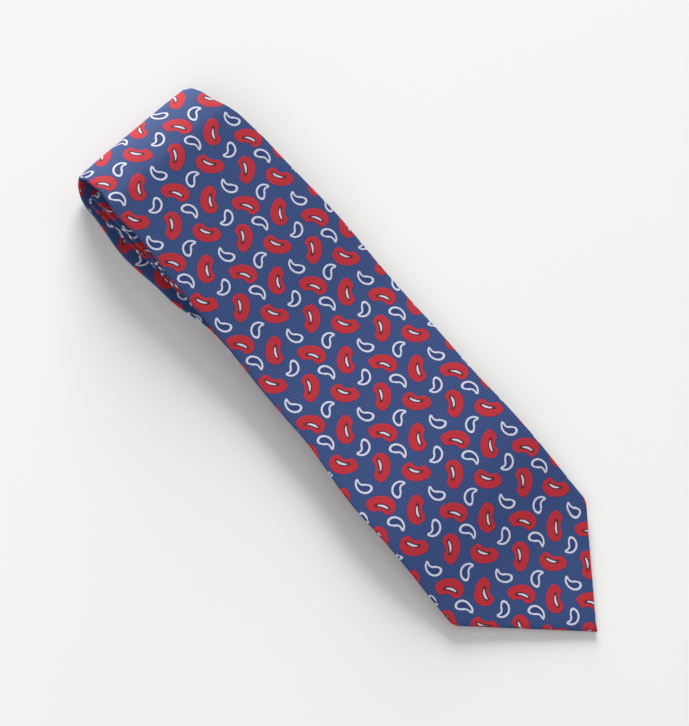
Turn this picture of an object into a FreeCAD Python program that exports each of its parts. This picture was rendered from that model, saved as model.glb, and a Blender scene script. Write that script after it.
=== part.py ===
"""A silk necktie rolled flat in seven turns, front blade on top, as separate sewn pieces.

The first turn is the front blade. The second lies on the table, and each later turn lies inside the
roll. Turns run along X, with the first fold at -X and the blade's point at +X. The seam side of the
cloth always faces the inside of the roll. The origin is the middle of the base.
"""
import FreeCAD, Part
import os
import Sketcher

SIZES = {
    # the roll
    "folded_length": 294.0,
    "fold_height": 22.5,
    "inner_setback": 13.0,
    "turn_setback": 81.0,
    "settle_reach": 105.0,
    "nose_length": 85.0,
    "tip_lift": 0.6,
    "ply_gap": 0.15,
    "back_clearance": 0.15,
    "blade_clearance": 0.3,
    # the cloth
    "silk": 0.25,
    "canvas": 0.8,
    "fit": 0.03,
    "seam_gap": 0.6,
    "web_angle": 90.0,
    # widths and sideways offsets at the corners of the points and at the six folds
    "blade_width": 88.0,
    "blade_point": 43.5,
    "fold_one_width": 77.0,
    "fold_two_width": 62.0,
    "fold_three_width": 48.0,
    "fold_four_width": 38.0,
    "fold_five_width": 35.0,
    "fold_six_width": 36.0,
    "tail_width": 46.0,
    "tail_point": 23.0,
    "fold_one_offset": 0.0,
    "fold_two_offset": -3.0,
    "fold_three_offset": -13.0,
    "fold_four_offset": -10.0,
    "fold_five_offset": -12.0,
    "fold_six_offset": -10.0,
    "tail_setback": 14.0,
    # linings at the points
    "blade_opening": 92.0,
    "blade_hem": 12.0,
    "tail_opening": 58.0,
    "tail_hem": 8.0,
    # bias joins between the three panels of silk
    "neck_seam_reach": 56.0,
    "tail_seam_reach": 30.0,
    "join_width": 0.3,
    # keeper loop, labels and hand stitches
    "keeper_reach": 27.0,
    "keeper_width": 12.0,
    "keeper_span": 50.0,
    "keeper_foot": 4.0,
    "keeper_ramp": 3.0,
    "keeper_thick": 0.4,
    "keeper_rise": 0.4,
    "stitch_thick": 0.2,
    "stitch_width": 1.2,
    "label_reach": 52.0,
    "label_length": 46.0,
    "label_width": 20.0,
    "label_thick": 0.25,
    "label_edge": 1.0,
    "care_reach": 8.0,
    "care_length": 20.0,
    "care_width": 12.0,
    "care_thick": 0.2,
    "tack_length": 9.0,
    "tack_width": 1.8,
    "tack_thick": 0.3,
    "thread_loop": 3.0,
    "thread_radius": 0.12,
}

LAYER = "(Sizes.canvas + 2 * Sizes.silk)"
HALF = "(Sizes.folded_length / 2)"
LINING = "(Sizes.silk + Sizes.fit)"
BACK_GAP = "(Sizes.tack_thick + Sizes.back_clearance)"
BLADE_GAP = "(Sizes.keeper_thick + Sizes.keeper_rise + Sizes.blade_clearance)"

doc = FreeCAD.newDocument("necktie")
sheet = doc.addObject("Spreadsheet::Sheet", "Sizes")
for row, (alias, value) in enumerate(SIZES.items(), start=1):
    sheet.set(f"A{row}", str(value))
    sheet.setAlias(f"A{row}", alias)
doc.recompute()


# ---- where the turns and folds lie ------------------------------------------------------------

def stack_turns():
    """Height of each turn's underside, from the table up."""
    floors = {}
    height = "0"
    for turn, gap in (
        ("second", "0"),
        ("fourth", "Sizes.ply_gap"),
        ("sixth", "Sizes.ply_gap"),
        ("seventh", BACK_GAP),
        ("fifth", "Sizes.ply_gap"),
        ("third", "Sizes.ply_gap"),
        ("first", BLADE_GAP),
    ):
        floors[turn] = f"({height} + {gap})"
        height = f"({floors[turn]} + {LAYER})"
    return floors


FLOOR = stack_turns()


class Fold:
    """A half turn of cloth about an axle along Y, from the turn below to the turn above."""

    def __init__(self, number, lower, upper_top, side, outermost=None, axle_x=None):
        bottom = FLOOR[lower]
        self.side = side
        self.half_width = f"(Sizes.fold_{number}_width / 2)"
        self.offset = f"Sizes.fold_{number}_offset"
        self.outside = f"(({upper_top} - {bottom}) / 2)"
        self.inside = f"({self.outside} - {LAYER})"
        self.axle_z = f"(({upper_top} + {bottom}) / 2)"
        self.axle_x = axle_x or f"({outermost} - {side} * {self.outside})"


def top_of(turn):
    return f"({FLOOR[turn]} + {LAYER})"


FOLD_ONE = Fold("one", "second", "Sizes.fold_height", -1, outermost=f"(-{HALF})")
FOLD_TWO = Fold("two", "second", top_of("third"), 1, outermost=f"({HALF} - Sizes.turn_setback)")
FOLD_THREE = Fold("three", "fourth", top_of("third"), -1, outermost=f"(Sizes.inner_setback - {HALF})")
FOLD_FOUR = Fold("four", "fourth", top_of("fifth"), 1, axle_x=FOLD_TWO.axle_x)
FOLD_FIVE = Fold("five", "sixth", top_of("fifth"), -1, axle_x=FOLD_THREE.axle_x)
FOLD_SIX = Fold("six", "sixth", top_of("seventh"), 1, axle_x=FOLD_TWO.axle_x)

# the folds at the left and right ends of each plain turn
ENDS = {
    "second": (FOLD_ONE, FOLD_TWO),
    "third": (FOLD_THREE, FOLD_TWO),
    "fourth": (FOLD_THREE, FOLD_FOUR),
    "fifth": (FOLD_FIVE, FOLD_FOUR),
    "sixth": (FOLD_FIVE, FOLD_SIX),
}


# ---- sketches and solids ----------------------------------------------------------------------

def value_of(expression):
    return float(sheet.evalExpression(expression))


def origin_plane(body, role):
    return next(o for o in body.Origin.OriginFeatures if o.Role == role)


def polygon(body, name, role, points):
    """A closed outline on one of the body's own planes, every corner bound to the sheet."""
    sketch = body.newObject("Sketcher::SketchObject", name)
    sketch.AttachmentSupport = [(origin_plane(body, role), "")]
    sketch.MapMode = "FlatFace"
    corners = [FreeCAD.Vector(value_of(a), value_of(b), 0) for a, b in points]
    count = len(corners)
    for i in range(count):
        sketch.addGeometry(Part.LineSegment(corners[i], corners[(i + 1) % count]), False)
    for i in range(count):
        sketch.addConstraint(Sketcher.Constraint("Coincident", i, 2, (i + 1) % count, 1))
    for i, (across, up) in enumerate(points):
        for kind, expression, value in (
            ("DistanceX", across, corners[i].x),
            ("DistanceY", up, corners[i].y),
        ):
            index = sketch.addConstraint(Sketcher.Constraint(kind, -1, 1, i, 1, value))
            sketch.setExpression(f"Constraints[{index}]", expression)
    return sketch


def plan_pad(name, points, floor, thickness):
    """A flat piece: its plan outline, raised from its floor by its thickness."""
    body = doc.addObject("PartDesign::Body", name)
    sketch = polygon(body, name + "_outline", "XY_Plane", points)
    pad = body.newObject("PartDesign::Pad", name + "_pad")
    pad.Profile = sketch
    pad.setExpression("Length", thickness)
    body.setExpression("Placement.Base.z", floor)
    return body


def side_pad(name, points, length, role="XZ_Plane"):
    """A piece known by its outline from the side, equally wide to both sides of its plane."""
    body = doc.addObject("PartDesign::Body", name)
    sketch = polygon(body, name + "_outline", role, points)
    pad = body.newObject("PartDesign::Pad", name + "_pad")
    pad.Profile = sketch
    pad.SideType = "Symmetric"
    pad.setExpression("Length", length)
    return body


def bend(name, fold, section, start, sweep):
    """A section carried round the fold's axle; start is measured from the lower turn."""
    body = doc.addObject("PartDesign::Body", name)
    sketch = polygon(body, name + "_section", "XY_Plane", section)
    turned = body.newObject("PartDesign::Revolution", name + "_bend")
    turned.Profile = sketch
    turned.ReferenceAxis = (sketch, ["V_Axis"])
    turned.setExpression("Angle", sweep)
    first = f"(90 + {start})" if fold.side < 0 else f"(-90 + {start})"
    body.Placement.Rotation = FreeCAD.Rotation(FreeCAD.Vector(0, 1, 0), 1)
    body.setExpression("Placement.Rotation.Angle", first)
    body.setExpression("Placement.Base.x", fold.axle_x)
    body.setExpression("Placement.Base.y", fold.offset)
    body.setExpression("Placement.Base.z", fold.axle_z)
    return body


def cut(name, base, tools):
    for number, tool in enumerate(tools):
        result = doc.addObject("Part::Cut", f"{name}_cut_{number}")
        result.Base = base
        result.Tool = tool
        base = result
    return base


def common(name, shapes):
    result = doc.addObject("Part::MultiCommon", name)
    result.Shapes = shapes
    return result


def join(name, shapes):
    result = doc.addObject("Part::MultiFuse", name)
    result.Shapes = shapes
    return result


def slab(name, centre_x, centre_y, bottom, size_x, size_y, size_z):
    """A small flat piece, placed by its middle and its underside."""
    box = doc.addObject("Part::Box", name)
    box.setExpression("Length", size_x)
    box.setExpression("Width", size_y)
    box.setExpression("Height", size_z)
    box.setExpression("Placement.Base.x", f"{centre_x} - {size_x} / 2")
    box.setExpression("Placement.Base.y", f"{centre_y} - {size_y} / 2")
    box.setExpression("Placement.Base.z", bottom)
    return box


# ---- outlines of the cloth --------------------------------------------------------------------

def ribbon_plan(start, end, half_start, half_end):
    """Plan of a strip that narrows or shifts between two folds."""
    return [
        (start.axle_x, f"{start.offset} - {half_start}"),
        (end.axle_x, f"{end.offset} - {half_end}"),
        (end.axle_x, f"{end.offset} + {half_end}"),
        (start.axle_x, f"{start.offset} + {half_start}"),
    ]


class Point:
    """The pointed end of the tie: where it starts, its tip and the lining behind it."""

    def __init__(self, end, fold, tip, way):
        self.fold = fold
        self.tip = tip
        self.way = way
        self.half = f"(Sizes.{end}_width / 2)"
        self.depth = f"Sizes.{end}_point"
        self.hem = f"Sizes.{end}_hem"
        self.opening = f"Sizes.{end}_opening"
        self.seam_end = f"({tip} - {way} * {self.opening})"

    def plan(self, inset):
        """Plan from the fold to the point, drawn in from its edges by inset."""
        tip_back = f"({inset} * sqrt({self.depth} ^ 2 + {self.half} ^ 2) / {self.half})"
        edge = f"({self.half} - {inset})"
        corner = f"({self.tip} - {self.way} * ({tip_back} + {edge} * {self.depth} / {self.half}))"
        at_fold = f"({self.fold.half_width} - {inset})"
        middle = self.fold.offset
        return [
            (self.fold.axle_x, f"{middle} - {at_fold}"),
            (corner, f"{middle} - {edge}"),
            (f"{self.tip} - {self.way} * {tip_back}", middle),
            (corner, f"{middle} + {edge}"),
            (self.fold.axle_x, f"{middle} + {at_fold}"),
        ]

    def lining_plan(self, inset):
        """Plan of the kite-shaped opening behind the point, inside the turned-in edges."""
        _, lower, front, upper, _ = self.plan(f"({self.hem} + {inset})")
        return [(f"{self.seam_end} + {self.way} * 2 * {inset}", self.fold.offset), lower, front, upper]

    def seam_plan(self, half, past="0"):
        """Plan of the seam down the middle, from the fold to the top of the lining."""
        end = f"({self.seam_end} + {self.way} * {past})"
        middle = self.fold.offset
        return [
            (self.fold.axle_x, f"{middle} - {half}"),
            (end, f"{middle} - {half}"),
            (end, f"{middle} + {half}"),
            (self.fold.axle_x, f"{middle} + {half}"),
        ]


BLADE = Point("blade", FOLD_ONE, HALF, 1)
TAIL = Point("tail", FOLD_SIX, f"({FOLD_FIVE.axle_x} + Sizes.tail_setback)", -1)


def sleeve_section(fold):
    """Silk wrapped round the canvas, its two edges nearly meeting on the inside of the fold."""
    half = fold.half_width
    inner_half = f"({half} - Sizes.silk)"
    lip = f"({fold.inside} + Sizes.silk)"
    skin = f"({fold.outside} - Sizes.silk)"
    slit = "(Sizes.seam_gap / 2)"
    one_side = [
        (fold.outside, half),
        (fold.inside, half),
        (fold.inside, slit),
        (lip, slit),
        (lip, inner_half),
        (skin, inner_half),
    ]
    other_side = [(across, f"(-{up})") for across, up in reversed(one_side)]
    return one_side + other_side


def box_section(low, high, half):
    return [(low, f"-{half}"), (high, f"-{half}"), (high, half), (low, half)]


def canvas_section(fold):
    low = f"({fold.inside} + {LINING})"
    high = f"({fold.outside} - {LINING})"
    return box_section(low, high, f"({fold.half_width} - {LINING})")


def thread_section(fold):
    high = f"({fold.inside} + Sizes.silk)"
    return box_section(fold.inside, high, THREAD_HALF)


THREAD_HALF = "(Sizes.seam_gap / 2 - Sizes.fit)"
SLIT_HALF = "(Sizes.seam_gap / 2)"
SLIT_RUNOUT = "(2 * Sizes.seam_gap)"
INNER_LAYER = f"({LAYER} - 2 * Sizes.silk)"
CANVAS_LAYER = f"({LAYER} - 2 * {LINING})"


def back_floor(turn):
    """Underside of the seam-side wall: on top of the turns below the middle, under the others."""
    if turn in ("second", "fourth", "sixth"):
        return f"({FLOOR[turn]} + {LAYER} - Sizes.silk)"
    return FLOOR[turn]


def flat_sleeve(turn):
    """The silk of one flat turn between two folds."""
    start, end = ENDS[turn]
    outer = ribbon_plan(start, end, start.half_width, end.half_width)
    inner = ribbon_plan(start, end, f"({start.half_width} - Sizes.silk)", f"({end.half_width} - Sizes.silk)")
    slit = ribbon_plan(start, end, SLIT_HALF, SLIT_HALF)
    return cut(
        turn + "_silk",
        plan_pad(turn + "_outside", outer, FLOOR[turn], LAYER),
        [
            plan_pad(turn + "_inside", inner, f"{FLOOR[turn]} + Sizes.silk", INNER_LAYER),
            plan_pad(turn + "_slit", slit, back_floor(turn), "Sizes.silk"),
        ],
    )


def flat_canvas(turn):
    start, end = ENDS[turn]
    plan = ribbon_plan(start, end, f"({start.half_width} - {LINING})", f"({end.half_width} - {LINING})")
    return plan_pad(turn + "_canvas", plan, f"{FLOOR[turn]} + {LINING}", CANVAS_LAYER)


def flat_thread(turn):
    start, end = ENDS[turn]
    plan = ribbon_plan(start, end, THREAD_HALF, THREAD_HALF)
    return plan_pad(turn + "_thread", plan, back_floor(turn), "Sizes.silk")


# ---- the front blade: first turn and the top of the first fold ---------------------------------

SETTLED = f"({FOLD_ONE.axle_x} + Sizes.settle_reach)"
LOWER_SWEEP = "((180 - Sizes.web_angle) / 2)"
UPPER_START = f"({LOWER_SWEEP} + Sizes.web_angle)"
BLADE_FLOOR = FLOOR["first"]


def blade_profile(low, high):
    """Side view of the blade between two depths above its underside: down from the fold, level
    over the roll, and drooping to the point."""
    line = [
        (FOLD_ONE.axle_x, f"(Sizes.fold_height - {LAYER})"),
        (SETTLED, BLADE_FLOOR),
        (f"({HALF} - Sizes.nose_length)", BLADE_FLOOR),
        (HALF, "Sizes.tip_lift"),
    ]
    under = [(x, f"{z} + {low}") for x, z in line]
    over = [(x, f"{z} + {high}") for x, z in reversed(line)]
    return under + over


def blade_piece(name, plan, low, high):
    """A layer of the blade: its plan carried up to its side view."""
    tall = plan_pad(name + "_plan", plan, "0", "2 * Sizes.fold_height")
    side = side_pad(name + "_side", blade_profile(low, high), "2 * Sizes.blade_width")
    return common(name, [tall, side])


def front_blade_silk():
    outside = blade_piece("blade_outside", BLADE.plan("0"), "0", LAYER)
    inside = blade_piece("blade_inside", BLADE.plan("Sizes.silk"), "Sizes.silk", f"({LAYER} - Sizes.silk)")
    slit = blade_piece("blade_slit", BLADE.seam_plan(SLIT_HALF, SLIT_RUNOUT), "0", "Sizes.silk")
    opening = blade_piece("blade_opening_cut", BLADE.lining_plan("0"), "0", "Sizes.silk")
    sleeve = cut("blade_sleeve", outside, [inside, slit, opening])
    return join(
        "blade_silk_whole",
        [sleeve, bend("blade_silk_bend", FOLD_ONE, sleeve_section(FOLD_ONE), UPPER_START, LOWER_SWEEP)],
    )


def front_blade_canvas():
    flat = blade_piece("blade_canvas_flat", BLADE.plan(LINING), LINING, f"({LAYER} - {LINING})")
    return join(
        "blade_canvas_whole",
        [flat, bend("blade_canvas_bend", FOLD_ONE, canvas_section(FOLD_ONE), UPPER_START, LOWER_SWEEP)],
    )


def blade_slip_stitch():
    flat = blade_piece("blade_thread_flat", BLADE.seam_plan(THREAD_HALF), "0", "Sizes.silk")
    return join(
        "blade_thread_whole",
        [flat, bend("blade_thread_bend", FOLD_ONE, thread_section(FOLD_ONE), UPPER_START, LOWER_SWEEP)],
    )


def keeper_loop():
    """A flattened band sewn down at both ends across the back of the blade."""
    end = "(Sizes.keeper_span / 2)"
    foot = f"({end} - Sizes.keeper_foot)"
    ramp = f"({foot} - Sizes.keeper_ramp)"
    low = "(-Sizes.keeper_thick)"
    right = [
        (ramp, f"({low} - Sizes.keeper_rise)"),
        (foot, low),
        (end, low),
        (end, "0"),
        (foot, "0"),
        (ramp, "(-Sizes.keeper_rise)"),
    ]
    left = [(f"(-{y})", z) for y, z in reversed(right)]
    body = side_pad("keeper_band", right + left, "Sizes.keeper_width", "YZ_Plane")
    body.setExpression("Placement.Base.x", f"{SETTLED} + Sizes.keeper_reach")
    body.setExpression("Placement.Base.y", FOLD_ONE.offset)
    body.setExpression("Placement.Base.z", BLADE_FLOOR)
    return body


def keeper_loop_stitches():
    """One short bar of thread over each foot of the keeper loop."""
    bars = []
    for name, side in (("near", "-"), ("far", "+")):
        foot = f"{FOLD_ONE.offset} {side} (Sizes.keeper_span - Sizes.keeper_foot) / 2"
        bars.append(
            slab(
                f"keeper_stitch_{name}",
                f"{SETTLED} + Sizes.keeper_reach",
                foot,
                f"{BLADE_FLOOR} - Sizes.keeper_thick - Sizes.stitch_thick",
                "(Sizes.keeper_width - 2 * Sizes.stitch_width)",
                "Sizes.stitch_width",
                "Sizes.stitch_thick",
            )
        )
    return join("keeper_stitches_pair", bars)


def name_label():
    return slab(
        "name_label_patch",
        f"{SETTLED} + Sizes.label_reach",
        FOLD_ONE.offset,
        f"{BLADE_FLOOR} - Sizes.label_thick",
        "Sizes.label_width",
        "Sizes.label_length",
        "Sizes.label_thick",
    )


def name_label_stitches():
    """A line of stitches along each short end of the blank label."""
    lines = []
    for name, side in (("near", "-"), ("far", "+")):
        edge = f"{FOLD_ONE.offset} {side} (Sizes.label_length / 2 - Sizes.label_edge)"
        lines.append(
            slab(
                f"label_stitch_{name}",
                f"{SETTLED} + Sizes.label_reach",
                edge,
                f"{BLADE_FLOOR} - Sizes.label_thick - Sizes.stitch_thick",
                "(Sizes.label_width - 2 * Sizes.label_edge)",
                "(Sizes.stitch_width / 2)",
                "Sizes.stitch_thick",
            )
        )
    return join("label_stitches_pair", lines)


def care_label():
    return slab(
        "care_label_patch",
        f"{SETTLED} + Sizes.care_reach",
        FOLD_ONE.offset,
        f"{BLADE_FLOOR} - Sizes.care_thick",
        "Sizes.care_width",
        "Sizes.care_length",
        "Sizes.care_thick",
    )


def care_label_stitch():
    return slab(
        "care_stitch_line",
        f"{SETTLED} + Sizes.care_reach + Sizes.care_width / 2 - Sizes.label_edge",
        FOLD_ONE.offset,
        f"{BLADE_FLOOR} - Sizes.care_thick - Sizes.stitch_thick",
        "(Sizes.stitch_width / 2)",
        "(Sizes.care_length - 2 * Sizes.label_edge)",
        "Sizes.stitch_thick",
    )


def bar_tack(name, point, floor):
    """The bar of thread that locks the seam where the lining begins, under the cloth."""
    return slab(
        name,
        f"{point.seam_end} - {point.way} * Sizes.tack_width / 2",
        point.fold.offset,
        f"{floor} - Sizes.tack_thick",
        "Sizes.tack_width",
        "Sizes.tack_length",
        "Sizes.tack_thick",
    )


def thread_loop(name, point, floor):
    """The slack end of the slip stitch, left as a small flat loop beside the bar tack."""
    clear_of_tack = "(Sizes.tack_width + Sizes.thread_loop + 2 * Sizes.thread_radius)"
    ring = doc.addObject("Part::Torus", name)
    ring.setExpression("Radius1", "Sizes.thread_loop")
    ring.setExpression("Radius2", "Sizes.thread_radius")
    ring.setExpression("Placement.Base.x", f"{point.seam_end} - {point.way} * {clear_of_tack}")
    ring.setExpression("Placement.Base.y", point.fold.offset)
    ring.setExpression("Placement.Base.z", f"{floor} - Sizes.thread_radius")
    return ring


# ---- the web of the first fold, between its two bending lines ----------------------------------

def fold_piece(name, section):
    return bend(name, FOLD_ONE, section(FOLD_ONE), LOWER_SWEEP, "Sizes.web_angle")


# ---- the roll underneath: second to seventh turns -----------------------------------------------

def lower_bend(name, section):
    return bend(name, FOLD_ONE, section(FOLD_ONE), "0", LOWER_SWEEP)


def half_turn(name, fold, section):
    return bend(name, fold, section(fold), "0", "180")


def tail_sleeve():
    floor = FLOOR["seventh"]
    back = back_floor("seventh")
    return cut(
        "tail_sleeve",
        plan_pad("tail_outside", TAIL.plan("0"), floor, LAYER),
        [
            plan_pad("tail_inside", TAIL.plan("Sizes.silk"), f"{floor} + Sizes.silk", INNER_LAYER),
            plan_pad("tail_slit", TAIL.seam_plan(SLIT_HALF, SLIT_RUNOUT), back, "Sizes.silk"),
            plan_pad("tail_opening_cut", TAIL.lining_plan("0"), back, "Sizes.silk"),
        ],
    )


def bias_tool(name, seam_x, seam_y, low, high, floor):
    """A slanting band at 45 degrees across a turn, between two distances from the seam line."""
    reach = "Sizes.blade_width"
    points = [
        (f"{low} - {reach}", f"-{reach}"),
        (f"{high} - {reach}", f"-{reach}"),
        (f"{high} + {reach}", reach),
        (f"{low} + {reach}", reach),
    ]
    body = plan_pad(name, points, floor, LAYER)
    body.setExpression("Placement.Base.x", seam_x)
    body.setExpression("Placement.Base.y", seam_y)
    return body


def bias_split(turn, seam_x):
    """Cut a turn's silk along its bias join: the part at -X, the part at +X and the join's stitches."""
    sleeve = flat_sleeve(turn)
    seam_y = ENDS[turn][0].offset
    far = "Sizes.folded_length"
    edge = "(Sizes.join_width / 2)"
    parts = []
    for part, low, high in (
        ("left", f"(-{far})", f"(-{edge})"),
        ("right", edge, far),
        ("thread", f"(-{edge})", edge),
    ):
        tool = bias_tool(f"{turn}_{part}_tool", seam_x, seam_y, low, high, FLOOR[turn])
        parts.append(common(f"{turn}_{part}", [sleeve, tool]))
    return parts


def roll_silk():
    """The silk from the first fold to the tail: blade panel, neck panel, tail panel, two joins."""
    fourth_left, fourth_right, neck_join = bias_split(
        "fourth", f"({FOLD_THREE.axle_x} + Sizes.neck_seam_reach)"
    )
    fifth_left, fifth_right, tail_join = bias_split(
        "fifth", f"({FOLD_FIVE.axle_x} + Sizes.tail_seam_reach)"
    )
    blade_panel = [
        lower_bend("silk_lower_bend", sleeve_section),
        flat_sleeve("second"),
        half_turn("silk_fold_two", FOLD_TWO, sleeve_section),
        flat_sleeve("third"),
        half_turn("silk_fold_three", FOLD_THREE, sleeve_section),
        fourth_left,
    ]
    neck_panel = [
        fourth_right,
        half_turn("silk_fold_four", FOLD_FOUR, sleeve_section),
        fifth_right,
    ]
    tail_panel = [
        fifth_left,
        half_turn("silk_fold_five", FOLD_FIVE, sleeve_section),
        flat_sleeve("sixth"),
        half_turn("silk_fold_six", FOLD_SIX, sleeve_section),
        tail_sleeve(),
    ]
    return {
        "blade_panel_rest": join("blade_panel_whole", blade_panel),
        "neck_panel_silk": join("neck_panel_whole", neck_panel),
        "tail_panel_silk": join("tail_panel_whole", tail_panel),
        "neck_join_thread": neck_join,
        "tail_join_thread": tail_join,
    }


def roll_canvas():
    """The canvas inside the roll, in two lengths that butt at the neck."""
    first_length = [
        lower_bend("canvas_lower_bend", canvas_section),
        flat_canvas("second"),
        half_turn("canvas_fold_two", FOLD_TWO, canvas_section),
        flat_canvas("third"),
        half_turn("canvas_fold_three", FOLD_THREE, canvas_section),
    ]
    second_length = [
        flat_canvas("fourth"),
        half_turn("canvas_fold_four", FOLD_FOUR, canvas_section),
        flat_canvas("fifth"),
        half_turn("canvas_fold_five", FOLD_FIVE, canvas_section),
        flat_canvas("sixth"),
        half_turn("canvas_fold_six", FOLD_SIX, canvas_section),
        plan_pad("seventh_canvas", TAIL.plan(LINING), f"{FLOOR['seventh']} + {LINING}", CANVAS_LAYER),
    ]
    return {
        "blade_canvas_rest": join("blade_canvas_roll", first_length),
        "tail_canvas": join("tail_canvas_roll", second_length),
    }


def roll_slip_stitch():
    """The slip stitch that closes the silk down the middle of the seam side, fold after fold."""
    runs = [lower_bend("thread_lower_bend", thread_section)]
    runs += [flat_thread(turn) for turn in ENDS]
    for number, fold in enumerate((FOLD_TWO, FOLD_THREE, FOLD_FOUR, FOLD_FIVE, FOLD_SIX), start=2):
        runs.append(half_turn(f"thread_fold_{number}", fold, thread_section))
    runs.append(
        plan_pad("seventh_thread", TAIL.seam_plan(THREAD_HALF), back_floor("seventh"), "Sizes.silk")
    )
    return join("thread_roll", runs)


# ---- every piece by its name, then the files ----------------------------------------------------

NODES = {
    "front_blade_silk": front_blade_silk(),
    "front_blade_canvas": front_blade_canvas(),
    "blade_tipping": blade_piece("blade_lining", BLADE.lining_plan("Sizes.fit"), "0", "Sizes.silk"),
    "blade_slip_stitch": blade_slip_stitch(),
    "blade_bar_tack": bar_tack("blade_tack_bar", BLADE, BLADE_FLOOR),
    "blade_thread_loop": thread_loop("blade_loop_ring", BLADE, BLADE_FLOOR),
    "keeper_loop": keeper_loop(),
    "keeper_loop_stitches": keeper_loop_stitches(),
    "name_label_blank": name_label(),
    "name_label_stitches": name_label_stitches(),
    "care_label_blank": care_label(),
    "care_label_stitch": care_label_stitch(),
    "fold_silk": fold_piece("fold_silk_bend", sleeve_section),
    "fold_canvas": fold_piece("fold_canvas_bend", canvas_section),
    "fold_slip_stitch": fold_piece("fold_thread_bend", thread_section),
    **roll_silk(),
    **roll_canvas(),
    "roll_slip_stitch": roll_slip_stitch(),
    "tail_tipping": plan_pad(
        "tail_lining", TAIL.lining_plan("Sizes.fit"), back_floor("seventh"), "Sizes.silk"
    ),
    "tail_bar_tack": bar_tack("tail_tack_bar", TAIL, FLOOR["seventh"]),
    "tail_thread_loop": thread_loop("tail_loop_ring", TAIL, FLOOR["seventh"]),
}
for label, piece in NODES.items():
    piece.Label = label

doc.recompute()
failed = [o.Label for o in doc.Objects if "Invalid" in o.State or "Error" in o.State]
if failed:
    raise RuntimeError(f"these features failed: {failed}")

for label, piece in NODES.items():
    if piece.Shape.isNull() or not piece.Shape.isValid():
        raise RuntimeError(f"{label} has no valid shape")

os.makedirs("parts", exist_ok=True)
for label, piece in NODES.items():
    piece.Shape.exportStep(f"parts/{label}.step")
    print(f"{label}: {len(piece.Shape.Solids)} solid(s), {piece.Shape.Volume:.1f} mm3")
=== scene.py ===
import math
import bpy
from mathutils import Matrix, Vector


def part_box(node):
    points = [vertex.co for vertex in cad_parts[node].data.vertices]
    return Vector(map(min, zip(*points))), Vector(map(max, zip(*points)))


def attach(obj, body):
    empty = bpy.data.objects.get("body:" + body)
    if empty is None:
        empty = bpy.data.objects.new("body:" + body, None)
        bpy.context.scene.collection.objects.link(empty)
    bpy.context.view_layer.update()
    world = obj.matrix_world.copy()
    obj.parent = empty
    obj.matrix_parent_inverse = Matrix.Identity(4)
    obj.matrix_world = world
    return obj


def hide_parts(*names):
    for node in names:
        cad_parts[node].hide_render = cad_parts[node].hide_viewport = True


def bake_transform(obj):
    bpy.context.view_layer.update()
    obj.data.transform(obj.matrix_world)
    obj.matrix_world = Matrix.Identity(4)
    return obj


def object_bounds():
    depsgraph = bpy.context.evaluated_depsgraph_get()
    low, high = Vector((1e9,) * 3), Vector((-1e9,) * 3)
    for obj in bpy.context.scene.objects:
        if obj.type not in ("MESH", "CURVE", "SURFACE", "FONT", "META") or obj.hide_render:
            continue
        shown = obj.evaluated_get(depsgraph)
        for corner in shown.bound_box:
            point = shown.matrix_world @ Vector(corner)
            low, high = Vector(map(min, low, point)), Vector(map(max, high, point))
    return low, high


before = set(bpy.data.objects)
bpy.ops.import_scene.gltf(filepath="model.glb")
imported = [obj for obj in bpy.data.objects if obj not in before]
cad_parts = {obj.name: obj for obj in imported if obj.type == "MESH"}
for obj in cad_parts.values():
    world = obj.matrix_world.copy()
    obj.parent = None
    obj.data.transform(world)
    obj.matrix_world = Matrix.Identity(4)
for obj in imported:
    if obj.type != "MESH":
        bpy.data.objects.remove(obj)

from types import SimpleNamespace

import bpy
import numpy as np
from mathutils import Matrix, Vector

cad_low, cad_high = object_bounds()
MM = 0.001


# ---- how the strip of cloth is folded --------------------------------------------------------
# A tie is one long flat strip: silk folded round a wool canvas, its two edges sewn together down
# the back. It is rolled flat in seven turns with that seam inward. This section walks the strip
# from the blade's point to the tail's point and notes where each part of it lies.

CLOTH = 1.3 * MM
PLY_GAP = 0.15 * MM
TACK_GAP = 0.45 * MM
LEVEL_FROM_FOLD = 105 * MM
NOSE = 84 * MM
TIP_FLAT = 45 * MM
FLAT_LIFT = 2.4 * MM
TIP_LIFT = 0.6 * MM
FOLD_EASE = 16 * MM
STEP = 2.5 * MM
FLAT_STEP = 4 * MM
FOLD_STEP_DEGREES = 4
POINT_HALF = 0.35 * MM

second_floor = cad_low.z
fourth_floor = second_floor + CLOTH + PLY_GAP
sixth_floor = fourth_floor + CLOTH + PLY_GAP
seventh_floor = sixth_floor + CLOTH + TACK_GAP
fifth_floor = seventh_floor + CLOTH + PLY_GAP
third_floor = fifth_floor + CLOTH + PLY_GAP
blade_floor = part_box("keeper_loop")[1].z
tip_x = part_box("front_blade_silk")[1].x
tail_tip_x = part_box("tail_canvas")[0].x


def fold_between(lower_floor, upper_top, side, width, middle, outermost=None, axle_x=None):
    """A half turn of the strip, from a lower turn to an upper one, round an axle along Y."""
    outside = (upper_top - lower_floor) / 2
    return SimpleNamespace(
        side=side,
        inside=outside - CLOTH,
        x=axle_x if axle_x is not None else outermost - side * outside,
        z=(upper_top + lower_floor) / 2,
        half=width / 2,
        middle=middle,
    )


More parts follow.
